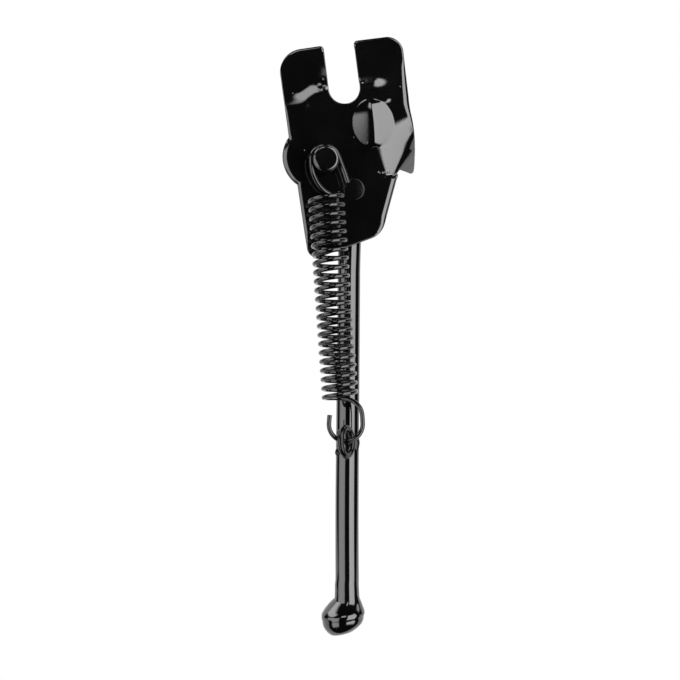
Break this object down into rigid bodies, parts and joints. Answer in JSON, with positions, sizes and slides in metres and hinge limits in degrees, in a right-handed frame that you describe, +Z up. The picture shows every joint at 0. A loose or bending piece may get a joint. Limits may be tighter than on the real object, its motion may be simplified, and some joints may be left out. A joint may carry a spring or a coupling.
{
  "type": "bicycle kickstand",
  "caption": "Bicycle side stand in glossy black-painted steel: slotted axle bracket with a curled ear, round splayed leg with an upset foot, and a tension spring.",
  "frame": {"origin": "centre of the axle slot's round end, on the back face of the bracket plate", "axes": "+Z up, +X to the rear of the bicycle, +Y from the plate towards the bicycle; leg standing"},
  "size_m": [0.0484, 0.0331, 0.2048],
  "materials": {
    "painted_steel": "gloss",
    "spring_steel": "gloss",
    "washer_steel": "satin"
  },
  "bodies": {
    "bracket": {"bracket_plate": "painted_steel", "spring_stud": "painted_steel", "pivot_rivet": "painted_steel", "thrust_washer": "washer_steel", "tail_washer": "washer_steel"},
    "leg": {"leg": "painted_steel", "spring_eye": "painted_steel"},
    "spring": {"spring": "spring_steel"}
  },
  "joints": [
    {"name": "leg_swing", "type": "hinge", "parent": "bracket", "child": "leg", "pos_m": [0.0037, 0, -0.0353], "axis": [0, -1, 0], "range_deg": [0, 96], "deforming": ["spring"]},
    {"name": "spring_swing", "type": "hinge", "parent": "bracket", "child": "spring", "pos_m": [-0.0073, -0.0102, -0.0261], "axis": [0, -1, 0], "range_deg": [0, 83.22]}
  ],
  "couplings": [
    {"joint": "spring_swing", "follows": "leg_swing", "ratio": 0.86687}
  ]
}
